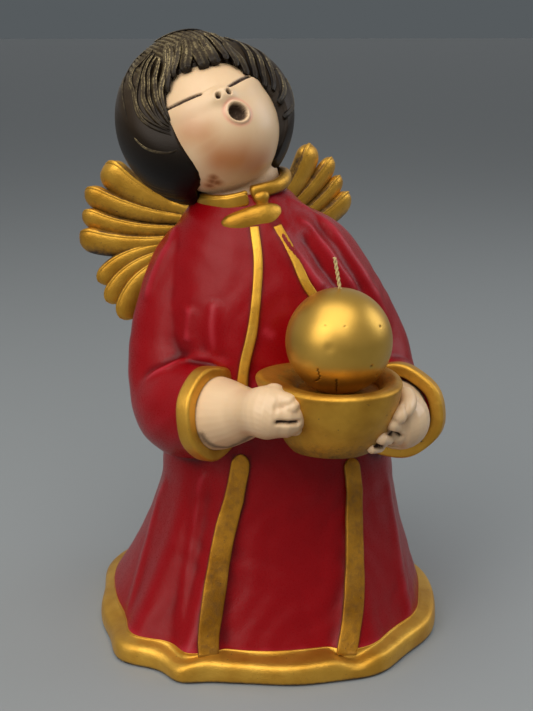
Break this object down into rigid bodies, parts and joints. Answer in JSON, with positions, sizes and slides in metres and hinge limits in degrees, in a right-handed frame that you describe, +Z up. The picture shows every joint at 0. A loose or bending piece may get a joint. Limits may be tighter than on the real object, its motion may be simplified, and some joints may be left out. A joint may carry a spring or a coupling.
{
  "type": "angel candle holder",
  "caption": "Hollow ceramic singing angel figure holding a bowl for a round candle, with small swept wings and a wavy gold hem.",
  "frame": {"origin": "middle of the whole outline seen from above, on the surface that the foot ring stands on", "axes": "+Z up, the front with the bowl towards -Y, the lower right wing towards +X"},
  "size_m": [0.1866, 0.2092, 0.312],
  "materials": {
    "angel_figure": "gloss",
    "ball_candle": "satin",
    "candle_wick": "matte"
  },
  "bodies": {
    "root": {"angel_figure": "angel_figure", "ball_candle": "ball_candle", "candle_wick": "candle_wick"}
  },
  "joints": []
}
